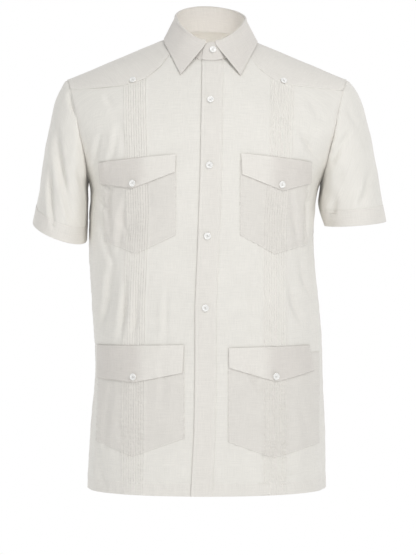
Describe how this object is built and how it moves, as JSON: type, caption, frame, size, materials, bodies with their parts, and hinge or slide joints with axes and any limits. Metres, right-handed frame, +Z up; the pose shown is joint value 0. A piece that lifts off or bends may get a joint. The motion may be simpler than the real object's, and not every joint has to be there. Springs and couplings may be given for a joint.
{
  "type": "guayabera shirt",
  "caption": "Short-sleeved buttoned shirt in its worn, hollow form, with a point collar, pointed yoke, bands of fine tucks and flapped patch pockets.",
  "frame": {"origin": "the middle of the neck, level with the high point of the shoulders, where the wearer holds the shirt", "axes": "+Z up, front towards -Y, wearer's left towards +X"},
  "size_m": [0.593, 0.2799, 0.818],
  "materials": {
    "shirting": "fine plain weave of cotton and polyester, off-white, with a faint sheen",
    "button": "polished, white"
  },
  "bodies": {
    "root": {"back": "shirting", "collar_leaf": "shirting", "collar_stand": "shirting", "cuff_left": "shirting", "cuff_right": "shirting", "front_left": "shirting", "front_right": "shirting", "placket": "shirting", "pocket_flap_lower_left": "shirting", "pocket_flap_lower_right": "shirting", "pocket_flap_upper_left": "shirting", "pocket_flap_upper_right": "shirting", "pocket_lower_left": "shirting", "pocket_lower_right": "shirting", "pocket_upper_left": "shirting", "pocket_upper_right": "shirting", "sleeve_left": "shirting", "sleeve_right": "shirting", "yoke": "shirting", "button_flap_lower_left": "button", "button_flap_lower_right": "button", "button_flap_upper_left": "button", "button_flap_upper_right": "button", "button_front_1": "button", "button_front_2": "button", "button_front_3": "button", "button_front_4": "button", "button_front_5": "button", "button_yoke_left": "button", "button_yoke_right": "button"}
  },
  "joints": []
}
